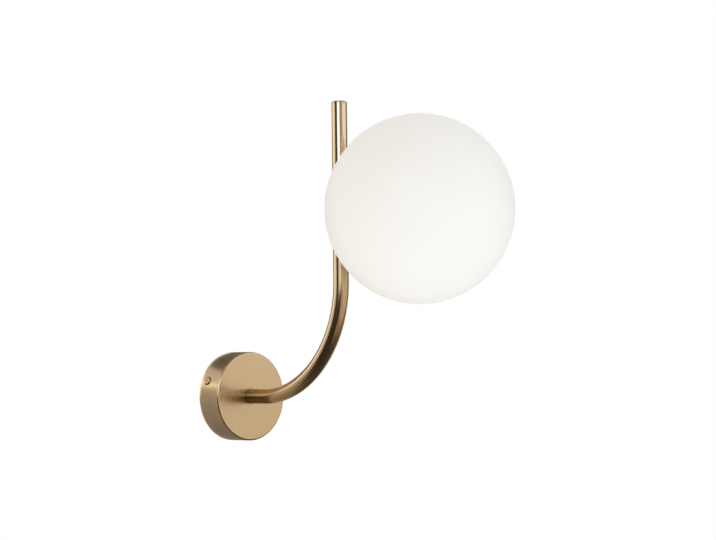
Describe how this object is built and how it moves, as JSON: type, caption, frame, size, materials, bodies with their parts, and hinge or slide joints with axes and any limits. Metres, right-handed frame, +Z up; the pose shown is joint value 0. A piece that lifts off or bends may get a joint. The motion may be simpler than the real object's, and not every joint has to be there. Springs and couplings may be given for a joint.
{
  "type": "globe wall sconce",
  "caption": "Wall sconce with a round satin brass canopy, a bent tube arm rising behind a large matt opal glass globe, and a capsule bulb inside.",
  "frame": {"origin": "middle of the round canopy on the wall plane, which is also the centre of the two wall slots", "axes": "+Z up, +Y into the wall, -Y out into the room, X across"},
  "size_m": [0.2, 0.4, 0.371],
  "materials": {
    "satin_brass": "satin brushed, clear lacquered",
    "screw_brass": "satin, turned head with a cross slot",
    "raw_brass": "as turned, uncoated",
    "zinc_steel": "zinc plated",
    "spring_steel": "nickel plated, bright",
    "bush_rubber": "matt moulded",
    "gasket_silicone": "matt translucent silicone",
    "block_plastic": "moulded polyamide",
    "lead_brown": "silicone insulation",
    "lead_blue": "silicone insulation",
    "lead_green": "silicone insulation, green with a yellow stripe",
    "white_ceramic": "fired steatite, thin glaze",
    "opal_glass": "acid-etched opal, matt outside, unlit",
    "bulb_plastic": "moulded",
    "bulb_glass": "clear",
    "led_phosphor": "rows of yellow phosphor chips on a white post, unlit"
  },
  "bodies": {
    "wall_mount": {"wall_plate": "zinc_steel", "cable_bush": "bush_rubber", "earth_washer": "zinc_steel", "earth_screw": "zinc_steel"},
    "lamp": {"canopy": "satin_brass", "canopy_bosses": "raw_brass", "arm_tube": "satin_brass", "arm_end_cap": "satin_brass", "arm_foot": "raw_brass", "arm_lock_washer": "zinc_steel", "arm_locknut": "raw_brass", "terminal_strap": "zinc_steel", "earth_tag": "raw_brass", "terminal_block": "block_plastic", "terminal_barrels": "raw_brass", "terminal_screws": "zinc_steel", "block_screw": "zinc_steel", "live_lead": "lead_brown", "neutral_lead": "lead_blue", "earth_lead": "lead_green", "globe_spigot": "satin_brass", "gallery": "satin_brass", "gallery_washer": "raw_brass", "gallery_nut": "raw_brass", "lampholder_bracket": "zinc_steel", "bracket_nut": "raw_brass", "lampholder_body": "white_ceramic", "lampholder_contacts": "spring_steel", "lampholder_screws": "zinc_steel"},
    "left_screw": {"side_screw_left": "screw_brass"},
    "right_screw": {"side_screw_right": "screw_brass"},
    "seal": {"globe_gasket": "gasket_silicone"},
    "globe": {"globe": "opal_glass"},
    "bulb": {"bulb_base": "bulb_plastic", "bulb_pins": "spring_steel", "bulb_dome": "bulb_glass", "bulb_core": "led_phosphor"}
  },
  "joints": [
    {"name": "lamp_slide", "type": "slide", "parent": "wall_mount", "child": "lamp", "axis": [0, -1, 0], "range_m": [0, 0.04]},
    {"name": "left_screw_out", "type": "slide", "parent": "lamp", "child": "left_screw", "axis": [-0.9336, 0, 0.3584], "range_m": [0, 0.004]},
    {"name": "right_screw_out", "type": "slide", "parent": "lamp", "child": "right_screw", "axis": [0.9336, 0, -0.3584], "range_m": [0, 0.004]},
    {"name": "seal_slide", "type": "slide", "parent": "lamp", "child": "seal", "axis": [0, -1, 0], "range_m": [0, 0.0061]},
    {"name": "globe_unscrew", "type": "hinge", "parent": "seal", "child": "globe", "pos_m": [0, -0.195, 0.197], "axis": [0, -1, 0], "range_deg": [0, 720]},
    {"name": "bulb_pull", "type": "slide", "parent": "lamp", "child": "bulb", "axis": [0, -1, 0], "range_m": [0, 0.014]}
  ],
  "couplings": [
    {"joint": "seal_slide", "follows": "globe_unscrew", "m_per_rad": 0.00047746}
  ]
}
